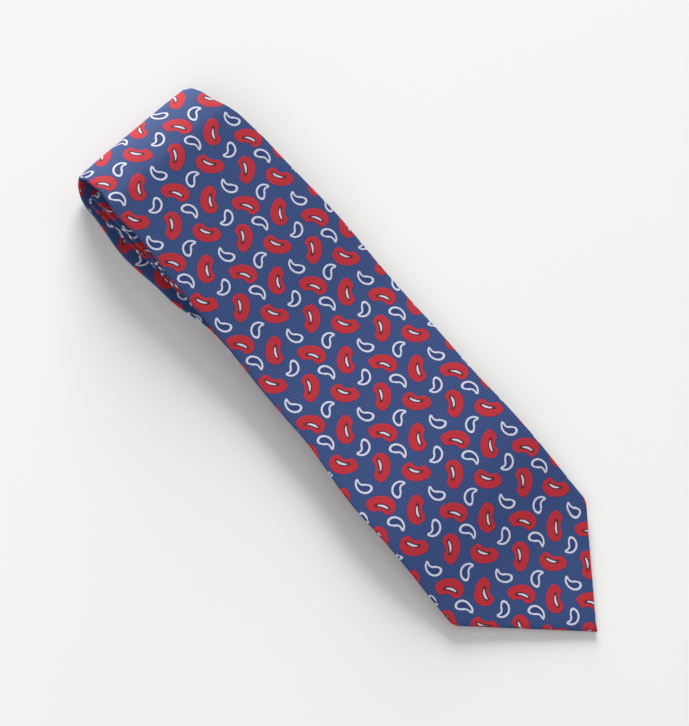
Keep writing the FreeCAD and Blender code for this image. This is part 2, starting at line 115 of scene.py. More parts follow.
fold_one = fold_between(
    second_floor, cad_high.z, -1, 71 * MM, -3 * MM, outermost=cad_low.x + 2.3 * MM
)
fold_two = fold_between(
    second_floor, third_floor + CLOTH, 1, 62 * MM, -3 * MM, outermost=tip_x - 81 * MM
)
fold_three = fold_between(
    fourth_floor, third_floor + CLOTH, -1, 48 * MM, -13 * MM, outermost=cad_low.x + 13 * MM
)
fold_four = fold_between(
    fourth_floor, fifth_floor + CLOTH, 1, 38 * MM, -10 * MM, axle_x=fold_two.x
)
fold_five = fold_between(
    sixth_floor, fifth_floor + CLOTH, -1, 35 * MM, -12 * MM, axle_x=fold_three.x
)
fold_six = fold_between(
    sixth_floor, seventh_floor + CLOTH, 1, 36 * MM, -10 * MM, axle_x=fold_two.x
)


def place(x, z, nx, nz, middle, half):
    """One place on the strip: its seam side, the way its face looks, its middle and half width.

    Its slant, the half width of the lining shown, and its distance along the cloth come later.
    """
    return SimpleNamespace(
        x=x, z=z, nx=nx, nz=nz, middle=middle, half=half, lean=0.0, opening=0.0, s=0.0
    )


def flat_run(start, end, floor, face):
    """A flat turn from one fold to another; face is +1 where the face side looks up."""
    count = max(3, round(abs(end.x - start.x) / FLAT_STEP))
    run = []
    for i in range(count + 1):
        x = start.x + (end.x - start.x) * i / count
        share = (x - start.x) / (end.x - start.x)
        middle = start.middle + (end.middle - start.middle) * share
        half = start.half + (end.half - start.half) * share
        run.append(place(x, floor if face > 0 else floor + CLOTH, 0, face, middle, half))
    return run


def fold_run(fold, first, last, ease=0.0):
    """The strip round a fold, between two angles counted in degrees from its lower side.

    With some ease the half round is drawn out lengthwise, as a fold that was never pressed is.
    """
    length = fold.inside + ease
    count = max(4, round(abs(last - first) / FOLD_STEP_DEGREES))
    run = []
    for i in range(count + 1):
        angle = math.radians(first + (last - first) * i / count)
        across_x = fold.side * math.sin(angle)
        up_z = -math.cos(angle)
        x = fold.x - fold.side * ease + across_x * length
        z = fold.z + up_z * fold.inside
        size = math.hypot(across_x / length, up_z / fold.inside)
        nx = across_x / length / size
        nz = up_z / fold.inside / size
        run.append(place(x, z, nx, nz, fold.middle, fold.half))
    return run


def eased_between(x, knots):
    """The value at x on a soft curve through a few knots, each an (x, value) pair."""
    for (x0, v0), (x1, v1) in zip(knots, knots[1:]):
        if x <= x1:
            share = min(1.0, max(0.0, (x - x0) / (x1 - x0)))
            return v0 + (v1 - v0) * share * share * (3 - 2 * share)
    return knots[-1][1]


def pointed_half(from_tip, length, fold_half, full_half, depth):
    """Half width of a pointed end: from the fold it widens to the corners, then runs to the tip."""
    if from_tip < depth:
        return max(POINT_HALF, full_half * from_tip / depth)
    return full_half + (fold_half - full_half) * (from_tip - depth) / (length - depth)


def opening_half(from_tip, hem, full_half, depth, seam_end):
    """Half width of the lining between the turned-in hems; from_tip and seam_end are distances."""
    apex = hem * math.hypot(depth, full_half) / full_half
    corner = apex + (full_half - hem) * depth / full_half
    if from_tip <= apex or from_tip >= seam_end:
        return 0.0
    if from_tip < corner:
        return (full_half - hem) * (from_tip - apex) / (corner - apex)
    return (full_half - hem) * (seam_end - from_tip) / (seam_end - corner)


BLADE = SimpleNamespace(half=44 * MM, depth=43.5 * MM, hem=12 * MM, opening=92 * MM)
TAIL = SimpleNamespace(half=23 * MM, depth=23 * MM, hem=8 * MM, opening=58 * MM)

BLADE_LEAVES_FOLD_DEGREES = 163
BEND_SOFTNESS = 12 * MM
BEND_REACH = 14
eased_fold = fold_run(fold_one, BLADE_LEAVES_FOLD_DEGREES, 90, FOLD_EASE)


def blade_heights():
    """Side view of the blade's back, from its tip up on to the roll, level, then up to the fold.

    The straight stretches are run together by a bell that reaches BEND_REACH steps each way.
    """
    knots_x = [tip_x, tip_x - TIP_FLAT, tip_x - NOSE, fold_one.x + LEVEL_FROM_FOLD, eased_fold[0].x]
    knots_z = [TIP_LIFT, FLAT_LIFT, blade_floor, blade_floor, eased_fold[0].z]
    x = np.linspace(tip_x, eased_fold[0].x, round((tip_x - eased_fold[0].x) / STEP) + 1)
    z = np.interp(-x, [-k for k in knots_x], knots_z)
    bell = np.exp(-0.5 * (np.arange(-BEND_REACH, BEND_REACH + 1) * STEP / BEND_SOFTNESS) ** 2)
    before = 2 * z[0] - z[BEND_REACH:0:-1]
    after = 2 * z[-1] - z[-2:-BEND_REACH - 2:-1]
    return x, np.convolve(np.concatenate([before, z, after]), bell / bell.sum(), "valid")


blade_x, blade_z = blade_heights()


CORNER_X = tip_x - BLADE.depth
BLADE_MIDDLE = [
    (fold_one.x, fold_one.middle),
    (-100 * MM, 0),
    (-52 * MM, 1.2 * MM),
    (0, 0),
    (40 * MM, -2.7 * MM),
    (CORNER_X, -2.2 * MM),
]
BLADE_HALF = [
    (fold_one.x, fold_one.half),
    (-118 * MM, 38.7 * MM),
    (-52 * MM, 41.3 * MM),
    (0, 41.8 * MM),
    (50 * MM, 43.9 * MM),
    (CORNER_X, 44.1 * MM),
]
TIP_MIDDLE = 3 * MM
BLADE_WAIST = 41.6 * MM


def blade_plan(x):
    """Middle and half width of the blade at x; the tip itself has pulled a little to one side."""
    if x < CORNER_X:
        return eased_between(x, BLADE_MIDDLE), eased_between(x, BLADE_HALF)
    share = (x - CORNER_X) / BLADE.depth
    middle = BLADE_MIDDLE[-1][1] + (TIP_MIDDLE - BLADE_MIDDLE[-1][1]) * share
    return middle, max(POINT_HALF, BLADE_HALF[-1][1] * (1 - share))


def blade_run():
    """The blade from its tip to where it turns into the first fold."""
    slopes = np.gradient(blade_z, blade_x)
    run = []
    for x, z, slope in zip(blade_x, blade_z, slopes):
        from_tip = tip_x - x
        size = math.hypot(1, slope)
        middle, half = blade_plan(x)
        spot = place(x, z, -slope / size, 1 / size, middle, half)
        spot.opening = opening_half(from_tip, BLADE.hem, BLADE.half, BLADE.depth, BLADE.opening)
        run.append(spot)
    return run[:-1]


def tail_run():
    """The seventh turn, from the last fold to the tail's tip."""
    length = fold_six.x - tail_tip_x
    count = round(length / STEP)
    run = []
    for i in range(count + 1):
        from_tip = length * (count - i) / count
        half = pointed_half(from_tip, length, fold_six.half, TAIL.half, TAIL.depth)
        spot = place(tail_tip_x + from_tip, seventh_floor, 0, 1, fold_six.middle, half)
        spot.opening = opening_half(from_tip, TAIL.hem, TAIL.half, TAIL.depth, TAIL.opening)
        run.append(spot)
    return run


JOIN_SLANT_REACH = 28 * MM
JOIN_CLEAR = 1 * MM
JOIN_HALF_GAP = 0.1 * MM


def lean_towards(run, join_x):
    """Slant the places near a bias join, so the panel ends on a line at 45 degrees."""
    for spot in run:
        spot.lean = 1 - min(1.0, abs(spot.x - join_x) / JOIN_SLANT_REACH)
    return run


def measure(*runs):
    """Lay the runs end to end and note the length of cloth from the blade's tip to each place."""
    distance = 0.0
    before = None
    for run in runs:
        for spot in run:
            outer = Vector((spot.x + spot.nx * CLOTH, spot.z + spot.nz * CLOTH))
            if before is not None:
                distance += (outer - before).length
            before = outer
            spot.s = distance


NECK_JOIN_FROM_FOLD = 56 * MM
TAIL_JOIN_FROM_FOLD = 30 * MM
neck_join_x = fold_three.x + NECK_JOIN_FROM_FOLD
tail_join_x = fold_five.x + TAIL_JOIN_FROM_FOLD


def split_turn(start, end, floor, face, join_x):
    """A turn cut on the bias at join_x: the part before the join and the part after it."""
    whole = flat_run(start, end, floor, face)
    towards = 1 if end.x > start.x else -1
    first = [p for p in whole if (p.x - join_x) * towards < -JOIN_CLEAR]
    second = [p for p in whole if (p.x - join_x) * towards > JOIN_CLEAR]
    share = (join_x - start.x) / (end.x - start.x)
    middle = start.middle + (end.middle - start.middle) * share
    half = start.half + (end.half - start.half) * share
    ends = [
        place(join_x - towards * JOIN_HALF_GAP, first[0].z, 0, face, middle, half),
        place(join_x + towards * JOIN_HALF_GAP, first[0].z, 0, face, middle, half),
    ]
    return lean_towards(first + ends[:1], join_x), lean_towards(ends[1:] + second, join_x)


for spot in eased_fold:
    spot.middle, spot.half = blade_plan(spot.x)
front_run = blade_run() + eased_fold
second_run = fold_run(fold_one, 90, 0) + flat_run(fold_one, fold_two, second_floor, -1)[1:]

UNDER_MIDDLE = [
    (fold_one.x, fold_one.middle),
    (-106 * MM, -3.9 * MM),
    (-81 * MM, -3.2 * MM),
    (-55 * MM, -1.9 * MM),
    (fold_two.x, fold_two.middle),
]
UNDER_HALF = [
    (fold_one.x, fold_one.half),
    (-106 * MM, 37.4 * MM),
    (-81 * MM, 35.9 * MM),
    (-55 * MM, 32.3 * MM),
    (fold_two.x, fold_two.half),
]
for spot in second_run:
    if spot.x > fold_one.x:
        spot.middle = eased_between(spot.x, UNDER_MIDDLE)
        spot.half = eased_between(spot.x, UNDER_HALF)

# the first fold lies a little slanted, and is drawn in and aside where it bends most
FOLD_LEAN = -0.06
FOLD_DRAWN_IN = 2.4 * MM
FOLD_DRAWN_ASIDE = 0.6 * MM
for run, reach in ((front_run, 70 * MM), (second_run, 40 * MM)):
    for spot in run:
        if spot.x < fold_one.x + reach:
            spot.lean = FOLD_LEAN * min(1.0, 1 - (spot.x - fold_one.x) / reach)
            spot.half -= FOLD_DRAWN_IN * spot.nx ** 2
            spot.middle -= FOLD_DRAWN_ASIDE * spot.nx ** 2

fourth_before, fourth_after = split_turn(fold_three, fold_four, fourth_floor, -1, neck_join_x)
fifth_before, fifth_after = split_turn(fold_four, fold_five, fifth_floor, 1, tail_join_x)
third_run = (
    fold_run(fold_two, 0, 180)
    + flat_run(fold_two, fold_three, third_floor, 1)[1:-1]
    + fold_run(fold_three, 180, 0)
    + fourth_before[1:]
)
neck_run = fourth_after[:-1] + fold_run(fold_four, 0, 180) + fifth_before[1:]
tail_end_run = (
    fifth_after[:-1]
    + fold_run(fold_five, 180, 0)
    + flat_run(fold_five, fold_six, sixth_floor, -1)[1:-1]
    + fold_run(fold_six, 0, 180)
    + tail_run()[1:]
)
measure(front_run, second_run, third_run, neck_run, tail_end_run)


# ---- the patterned silk ----------------------------------------------------------------------
# The silk is a blue twill woven with red seeds that have a pale heart, and outlined white leaves.
# Three bias-cut panels of it make the outside: blade, neck and tail. The blade's panel is in three
# lengths here, since it lies on three bodies.

SILK = 0.25 * MM
SEAM_HALF = 0.3 * MM


class Sum:
    """A number worked out in a material's node tree, written like ordinary arithmetic."""

    def __init__(self, tree, socket):
        self.tree = tree
        self.socket = socket

    def math(self, operation, *others, clamp=False):
        node = self.tree.nodes.new("ShaderNodeMath")
        node.operation = operation
        node.use_clamp = clamp
        for slot, value in enumerate((self, *others)):
            if isinstance(value, Sum):
                self.tree.links.new(value.socket, node.inputs[slot])
            else:
                node.inputs[slot].default_value = value
        return Sum(self.tree, node.outputs[0])

    def __add__(self, other):
        return self.math("ADD", other)

    def __sub__(self, other):
        return self.math("SUBTRACT", other)

    def __mul__(self, other):
        return self.math("MULTIPLY", other)

    def __truediv__(self, other):
        return self.math("DIVIDE", other)

    def flipped(self):
        """One less this."""
        return (self * -1) + 1

    def fade(self, start, end):
        """A soft step from 0 at start to 1 at end."""
        node = self.tree.nodes.new("ShaderNodeMapRange")
        node.interpolation_type = "SMOOTHSTEP"
        low, high = (start, end) if start < end else (end, start)
        self.tree.links.new(self.socket, node.inputs["Value"])
        node.inputs["From Min"].default_value = low
        node.inputs["From Max"].default_value = high
        node.inputs["To Min"].default_value = 0 if start < end else 1
        node.inputs["To Max"].default_value = 1 if start < end else 0
        return Sum(self.tree, node.outputs[0])


def mixed(tree, amount, first, second):
    """Blend two colours, each a plain colour or a socket, by an amount worked out in the tree."""
    node = tree.nodes.new("ShaderNodeMix")
    node.data_type = "RGBA"
    tree.links.new(amount.socket, node.inputs["Factor"])
    for name, colour in (("A", first), ("B", second)):
        socket = next(i for i in node.inputs if i.name == name and i.type == "RGBA")
        if isinstance(colour, tuple):
            socket.default_value = (*colour, 1)
        else:
            tree.links.new(colour, socket)
    return next(o for o in node.outputs if o.type == "RGBA")


def dyed(red, green, blue):
    """A dye's colour in the renderer's linear light, from its everyday 0-255 values."""
    shares = (red / 255, green / 255, blue / 255)
    return tuple(((share + 0.055) / 1.055) ** 2.4 for share in shares)


def cloth_lengths(tree):
    """Distances on the flat cloth in millimetres: along the tie from the tip, and across it."""
    uv = tree.nodes.new("ShaderNodeUVMap")
    uv.uv_map = "Cloth"
    parts = tree.nodes.new("ShaderNodeSeparateXYZ")
    tree.links.new(uv.outputs["UV"], parts.inputs[0])
    return Sum(tree, parts.outputs["X"]) * 1000, Sum(tree, parts.outputs["Y"]) * 1000


def mottling(tree, along, across, scale, detail=2.0):
    """Soft uneven values from 0 to 1 over the cloth; scale is in blotches to the millimetre."""
    joined = tree.nodes.new("ShaderNodeCombineXYZ")
    tree.links.new(along.socket, joined.inputs[0])
    tree.links.new(across.socket, joined.inputs[1])
    noise = tree.nodes.new("ShaderNodeTexNoise")
    noise.inputs["Scale"].default_value = scale
    noise.inputs["Detail"].default_value = detail
    tree.links.new(joined.outputs[0], noise.inputs["Vector"])
    return Sum(tree, noise.outputs["Fac"])


def waves(value, pitch):
    """Even ribs from 0 to 1, a pitch apart in the value's own millimetres."""
    return (value * (2 * math.pi / pitch)).math("SINE") * 0.5 + 0.5


def new_finish(name, roughness, sheen, specular):
    """A cloth material with its even values set on the shader itself."""
    material = bpy.data.materials.new(name)
    material.use_nodes = True
    tree = material.node_tree
    shader = tree.nodes["Principled BSDF"]
    shader.inputs["Roughness"].default_value = roughness
    shader.inputs["Sheen Weight"].default_value = sheen
    shader.inputs["Sheen Roughness"].default_value = 0.4
    shader.inputs["Specular IOR Level"].default_value = specular
    return material, tree, shader


def raise_threads(tree, shader, height, distance):
    """Turn a height worked out in the tree into relief on the cloth."""
    bump = tree.nodes.new("ShaderNodeBump")
    bump.inputs["Strength"].default_value = 1.0
    bump.inputs["Distance"].default_value = distance
    tree.links.new(height.socket, bump.inputs["Height"])
    tree.links.new(bump.outputs["Normal"], shader.inputs["Normal"])


# the woven pattern, in millimetres of flat cloth
FIGURE_STEP = 15.9
FIGURE_FROM_TIP = 157.5
FIGURE_ACROSS = -1.7
RIB = 1.1
FINE_RIB = 0.34
SATIN_RIB = 0.62
SEED = {"long_half": 6.4, "wide_half": 4.1, "taper": 0.16}
SEED_SHIFT = 0.45
DENT_CENTRE = (-0.9, 6.0)
DENT_RADIUS = 3.7
DENT_SOFTNESS = 1.0
HEART = {
    "centre": (0.05, 6.28),
    "radius": 6.2,
    "towards": (0.21, -0.98),
    "long_half": 2.5,
    "wide_half": 0.46,
    "taper": 0.2,
}
LEAF = {
    "centre": (2.1, 0.9),
    "radius": 3.1,
    "towards": (-0.96, -0.27),
    "long_half": 4.1,
    "wide_half": 1.6,
    "taper": -0.5,
}
LEAF_DROP = -0.3
LEAF_DROP_IF_TURNED = 0.9


def oval(along, across, long_half, width):
    """Signed distance from an oval, given places along and across it as shares of its halves."""
    near = (along * along + across * across).math("SQRT")
    slope_along = along * (1 / long_half)
    slope_across = across / width
    slope = (slope_along * slope_along + slope_across * slope_across).math("SQRT")
    return near * (near - 1) / slope.math("MAXIMUM", 0.02)


def bent(right, down, centre, radius, towards, long_half, wide_half, taper):
    """Signed distance in millimetres from the outline of a drop bent round a centre."""
    x = right - centre[0]
    y = down - centre[1]
    away = (x * x + y * y).math("SQRT")
    ahead = x * towards[0] + y * towards[1]
    aside = y * towards[0] - x * towards[1]
    along = aside.math("ARCTAN2", ahead) * (radius / long_half)
    width = (along * taper + 1).math("MAXIMUM", 0.35) * wide_half
    return oval(along, (away - radius) / width, long_half, width)


def bean(right, down, long_half, wide_half, taper):
    """Signed distance in millimetres from a bean: an oval, fatter at one end, with a dent."""
    along = right * (1 / long_half)
    width = (along * taper + 1) * wide_half
    whole = oval(along, down / width, long_half, width)
    beside = right - DENT_CENTRE[0]
    below = down - DENT_CENTRE[1]
    dent = (beside * beside + below * below).math("SQRT") * -1 + DENT_RADIUS
    return whole.math("SMOOTH_MAX", dent, DENT_SOFTNESS)


def silk_finish():
    """Blue ribbed twill with the red seeds, their pale hearts and the white leaves woven in."""
    material, tree, shader = new_finish("patterned_silk", 0.65, 0.04, 0.14)
    along, across = cloth_lengths(tree)
    wander = (mottling(tree, along, across, 0.55) - 0.5) * 0.5
    u = along * -1 + FIGURE_FROM_TIP
    v = across - FIGURE_ACROSS
    scale = 1 / (FIGURE_STEP * math.sqrt(2))
    m = (u + v) * scale
    n = (u - v) * scale
    # red seeds stand on the corners of the squares, turned by which corner it is
    m_near = (m + 0.5).math("FLOOR")
    n_near = (n + 0.5).math("FLOOR")
    right = (m - m_near) * FIGURE_STEP
    down = (n - n_near) * FIGURE_STEP
    m_odd = m_near.math("FLOORED_MODULO", 2)
    n_odd = n_near.math("FLOORED_MODULO", 2)
    across_square = (m_odd - n_odd).math("ABSOLUTE")
    turned = across_square.flipped()
    sign = n_odd * -2 + 1
    seed_x = (right * across_square + down * turned) * sign
    seed_y = (down * across_square + right * turned) * sign
    wobble = (mottling(tree, along, across, 2.6, 1.0) - 0.5) * 0.8
    seed_edge = bean(seed_x - SEED_SHIFT, seed_y, **SEED) + wobble
    heart_edge = bent(seed_x, seed_y, **HEART) + wobble * 0.3
    # white leaves stand in the middles of the squares, turned by quarter turns
    m_cell = m.math("FLOOR")
    n_cell = n.math("FLOOR")
    m_even = m_cell.math("FLOORED_MODULO", 2)
    n_even = n_cell.math("FLOORED_MODULO", 2)
    leaf_sign = n_even * 2 - 1
    quarter = (m_even - n_even).math("ABSOLUTE")
    leaf_right = (m - m_cell - 0.5) * FIGURE_STEP
    leaf_drop = leaf_sign * (quarter * LEAF_DROP_IF_TURNED + LEAF_DROP)
    leaf_down = (n - n_cell - 0.5) * FIGURE_STEP - leaf_drop
    level = quarter.flipped()
    leaf_x = (leaf_right * level - leaf_down * quarter) * leaf_sign
    leaf_y = (leaf_down * level + leaf_right * quarter) * leaf_sign
    leaf_edge = bent(leaf_x, leaf_y, **LEAF)
    # how much of each dye shows, and where painted sheen lies on the red's stripes
    in_seed = seed_edge.fade(0.12, -0.12)
    seed_rim = seed_edge.math("ABSOLUTE").fade(0.45, 0.15)
    seed_line = (seed_edge + 1.35).math("ABSOLUTE").fade(0.3, 0.05)
    in_heart = heart_edge.fade(0.1, -0.1)
    heart_rim = heart_edge.fade(0.65, 0.4)
    in_line = (leaf_edge + wobble * 0.25).math("ABSOLUTE").fade(0.54, 0.34)
    leaf_shade = leaf_edge.fade(0.9, 0.5)
    ribs = waves(along + wander * 0.5, RIB)
    fine = waves(across + wander, FINE_RIB)
    # the red's stripes: raised lines in the relief, and painted sheen in its colour
    satin_turn = (m + n) * (FIGURE_STEP * 2 * math.pi / SATIN_RIB) + wander
    satin_lines_and_sheen = satin_turn.math("SINE") * 0.5 + 0.5
    cloudy = mottling(tree, along, across, 0.09)
    blue = mixed(tree, ribs * 0.8, dyed(41, 61, 107), dyed(72, 95, 147))
    blue = mixed(tree, cloudy * 0.3, blue, dyed(52, 73, 125))
    # the red's darker and lighter stripes are painted sheen, not two dyes
    red = mixed(tree, satin_lines_and_sheen * 0.45, dyed(198, 46, 60), dyed(152, 38, 50))
    red = mixed(tree, seed_line * 0.5, red, dyed(124, 58, 40))
    pale = mixed(tree, fine * 0.4, dyed(216, 216, 232), dyed(176, 178, 206))
    colour = mixed(tree, seed_rim * 0.5, blue, dyed(58, 34, 84))
    colour = mixed(tree, in_seed, colour, red)
    colour = mixed(tree, heart_rim, colour, dyed(78, 34, 40))
    colour = mixed(tree, in_heart, colour, pale)
    colour = mixed(tree, leaf_shade * 0.45, colour, dyed(36, 50, 104))
    colour = mixed(tree, in_line, colour, pale)
    tree.links.new(colour, shader.inputs["Base Color"])
    figure = in_seed.math("MAXIMUM", in_line)
    height = ribs * figure.flipped() + figure * 1.2 + satin_lines_and_sheen * figure * 0.3 + fine * 0.12
    raise_threads(tree, shader, height, 0.05 * MM)
    return material


patterned_silk = silk_finish()

BACK_STEPS = 8
EDGE_STEPS = 8
FACE_STEPS = 24


def section(spot, inset, gap, crown, short=0.0):
    """The strip's outline across itself: back, edge, face, edge, back.

    Each point is (across, depth from the seam side, place across the flat cloth).
    """
    half = max(spot.half - inset - short, 0.3 * MM)
    deep = CLOTH - 2 * inset
    bend = min(deep / 2, half * 0.9)
    inner = half - bend
    start = min(max(gap, spot.opening), inner - 0.02 * MM) if gap > 0 else 0.0
    turn = math.pi * bend
    right_half = []
    for i in range(BACK_STEPS + 1):
        y = start + (inner - start) * i / BACK_STEPS
        right_half.append((y, 0.0, inner + turn + (inner - y)))
    for i in range(1, EDGE_STEPS):
        angle = math.pi * i / EDGE_STEPS
        y = inner + bend * math.sin(angle)
        right_half.append((y, deep / 2 * (1 - math.cos(angle)), inner + bend * angle))
    face = []
    for i in range(FACE_STEPS + 1):
        y = inner * (1 - 2 * i / FACE_STEPS)
        share = y / inner
        face.append((y, deep + crown * (1 - share ** 4) * min(1, half / (10 * MM)), y))
    left_half = [(-y, d, -t) for y, d, t in reversed(right_half)]
    return [(y, d + inset, t) for y, d, t in right_half + face + left_half]


def strip_point(spot, across, depth):
    """A point of the strip, across from its middle and up from its seam side."""
    along_x = spot.lean * across
    return (spot.x + spot.nx * depth + along_x, spot.middle + across, spot.z + spot.nz * depth)


def mesh_of(name, points, faces, uv, material):
    """An object from points and faces, with its lengths on the flat cloth as a UV map."""
    mesh = bpy.data.meshes.new(name)
    mesh.from_pydata(points, [], faces)
    layer = mesh.uv_layers.new(name="Cloth")
    for loop in mesh.loops:
        layer.data[loop.index].uv = uv[loop.vertex_index]
    mesh.polygons.foreach_set("use_smooth", [True] * len(mesh.polygons))
    mesh.materials.append(material)
    mesh.update()
    piece = bpy.data.objects.new(name, mesh)
    bpy.context.collection.objects.link(piece)
    return piece


def thicken(piece, thickness):
    """Give a sheet its thickness, inward from its face."""
    solid = piece.modifiers.new("thickness", "SOLIDIFY")
    solid.thickness = thickness
    solid.offset = -1
    return piece


def silk_sleeve(name, run, crown=0.0, capped=None):
    """Silk carried along a run of the strip, wrapped round the edges to the seam at the back.

    A crowned sleeve is also a little uneven along its face. The pattern is spread where the
    blade is wider than its waist.
    """
    points, uv, faces = [], [], []
    for spot in run:
        uneven = math.sin(spot.s * 37) * 0.08 * MM + math.sin(spot.s * 91 + 1) * 0.05 * MM
        spread = max(1.0, spot.half / BLADE_WAIST)
        for y, depth, t in section(spot, 0.0, SEAM_HALF, crown):
            on_face = depth > CLOTH * 0.9 and crown > 0
            points.append(strip_point(spot, y, depth + uneven * on_face))
            uv.append((spot.s - spot.lean * y * spot.nz, t / spread + spot.middle))
    ring = len(points) // len(run)
    for i in range(len(run) - 1):
        for j in range(ring - 1):
            a = i * ring + j
            faces.append((a, a + ring, a + ring + 1, a + 1))
    if capped == "start":
        faces.append(tuple(range(ring)))
    if capped == "end":
        faces.append(tuple(reversed(range(len(points) - ring, len(points)))))
    return thicken(mesh_of(name, points, faces, uv, patterned_silk), SILK)


def flat_area(run):
    """Area of the silk that wraps a run of the strip: twice its face, less the lining's opening."""
    total = 0.0
    for a, b in zip(run, run[1:]):
        total += (b.s - a.s) * (2 * (a.half + b.half) - (a.opening + b.opening))
    return total


def declare_silk(run):
    """Work out the flat size of the silk in a sleeve, where both its sides count; the sizes are not
    kept.
    """
    length = run[-1].s - run[0].s
    width = 4 * max(spot.half for spot in run)
    area = flat_area(run)
    length = max(length, area / width)


front_silk = silk_sleeve("blade_silk_front", front_run, crown=0.35 * MM, capped="start")
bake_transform(front_silk)
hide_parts("front_blade_silk")

second_silk = silk_sleeve("blade_silk_under", second_run)
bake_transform(second_silk)
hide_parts("fold_silk")

third_silk = silk_sleeve("blade_silk_inner_turns", third_run)
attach(third_silk, "folded_roll")
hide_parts("blade_panel_rest")

neck_silk = silk_sleeve("neck_silk", neck_run)
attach(neck_silk, "folded_roll")
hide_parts("neck_panel_silk")

tail_silk = silk_sleeve("tail_silk", tail_end_run, capped="end")
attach(tail_silk, "folded_roll")
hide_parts("tail_panel_silk")

for piece, run, rests_on in (
    (front_silk, front_run, ["blade_silk_inner_turns"]),
    (second_silk, second_run, []),
    (third_silk, third_run, ["neck_silk"]),
    (neck_silk, neck_run, ["tail_silk"]),
    (tail_silk, tail_end_run, ["blade_silk_inner_turns"]),
):
    declare_silk(run)


# ---- the wool canvas -------------------------------------------------------------------------
# A brushed wool and cotton interlining fills the silk from point to point. It is cut in two
# lengths that meet at the neck, and nothing holds it but the folded silk and the slip stitch.

WRAP = 0.28 * MM
SHORT = 0.9 * MM


def canvas_finish():
    """Brushed wool: an open plain weave, half hidden by its own fuzz."""
    material, tree, shader = new_finish("wool_canvas", 0.9, 0.5, 0.15)
    along, across = cloth_lengths(tree)
    fuzz = mottling(tree, along, across, 1.6, 5.0)
    weave = waves(along, 0.9) * waves(across, 0.8)
    colour = mixed(tree, fuzz, dyed(226, 220, 204), dyed(188, 180, 160))
    tree.links.new(colour, shader.inputs["Base Color"])
    raise_threads(tree, shader, weave + fuzz, 0.15 * MM)
    return material


wool_canvas = canvas_finish()


def canvas_length(name, run):
    """A closed ribbon of canvas inside the silk: its whole outline goes round in one ring."""
    points, uv, faces = [], [], []
    for spot in run:
        for y, depth, t in section(spot, WRAP, 0.0, 0.0, SHORT)[1:-1]:
            points.append(strip_point(spot, y, depth))
            uv.append((spot.s, t))
    ring = len(points) // len(run)
    for i in range(len(run) - 1):
        for j in range(ring):
            a = i * ring + j
            b = i * ring + (j + 1) % ring
            faces.append((a, a + ring, b + ring, b))
    faces.append(tuple(range(ring)))
    faces.append(tuple(reversed(range(len(points) - ring, len(points)))))
    piece = mesh_of(name, points, faces, uv, wool_canvas)
    return piece


def declare_canvas(run):
    """Work out the flat size of a length of canvas; the sizes are not kept."""
    length = run[-1].s - run[0].s
    width = 2 * max(spot.half for spot in run)
    area = sum((b.s - a.s) * (a.half + b.half) for a, b in zip(run, run[1:]))
    area = min(area, width * length)


# the canvas has no bias joins, so while it is laid the lengths are noted along its own runs
roll_front_run = third_run[:-len(fourth_before) + 1]
roll_tail_run = flat_run(fold_three, fold_four, fourth_floor, -1)
roll_tail_run += fold_run(fold_four, 0, 180)[1:]
roll_tail_run += flat_run(fold_four, fold_five, fifth_floor, 1)[1:-1]
roll_tail_run += tail_end_run[len(fifth_after) - 1:]
measure(front_run, second_run, roll_front_run, roll_tail_run)

front_canvas = canvas_length("blade_canvas_front", front_run)
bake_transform(front_canvas)
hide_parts("front_blade_canvas")

second_canvas = canvas_length("blade_canvas_under", second_run)
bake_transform(second_canvas)
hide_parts("fold_canvas")

third_canvas = canvas_length("blade_canvas_inner_turns", roll_front_run)
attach(third_canvas, "folded_roll")
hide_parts("blade_canvas_rest")

neck_canvas = canvas_length("neck_and_tail_canvas", roll_tail_run)
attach(neck_canvas, "folded_roll")
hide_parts("tail_canvas")

for piece, run, rests_on in (
    (front_canvas, front_run, ["blade_silk_front"]),
    (second_canvas, second_run, ["blade_silk_under"]),
    (third_canvas, roll_front_run, ["blade_silk_inner_turns"]),
    (neck_canvas, roll_tail_run, ["neck_silk", "tail_silk"]),
):
    declare_canvas(run)

# the pieces after this are sewn to the silk, so the lengths are the silk's again
measure(front_run, second_run, third_run, neck_run, tail_end_run)


# ---- the tippings ----------------------------------------------------------------------------
# Each pointed end is faced with a plain navy satin behind it. The silk's edges are turned in
# over the lining and pressed, so it shows as a kite between the hems.

def satin_finish():
    """Plain navy satin, its long floats broken by a faint slanting step."""
    material, tree, shader = new_finish("tipping_satin", 0.32, 0.2, 0.5)
    along, across = cloth_lengths(tree)
    wander = mottling(tree, along, across, 0.3) * 2
    floats = waves(across + wander * 0.1, 0.3)
    steps = waves(along + across * 0.5, 0.9)
    colour = mixed(tree, floats * 0.5 + wander * 0.1, dyed(26, 34, 74), dyed(44, 56, 108))
    tree.links.new(colour, shader.inputs["Base Color"])
    shader.inputs["Anisotropic"].default_value = 0.5
    raise_threads(tree, shader, floats + steps * 0.4, 0.04 * MM)
    return material


tipping_satin = satin_finish()
LINING = 0.12 * MM
LINING_SLACK = 0.1 * MM
UNDER_HEM = 1.5 * MM
LINING_STEPS = 16


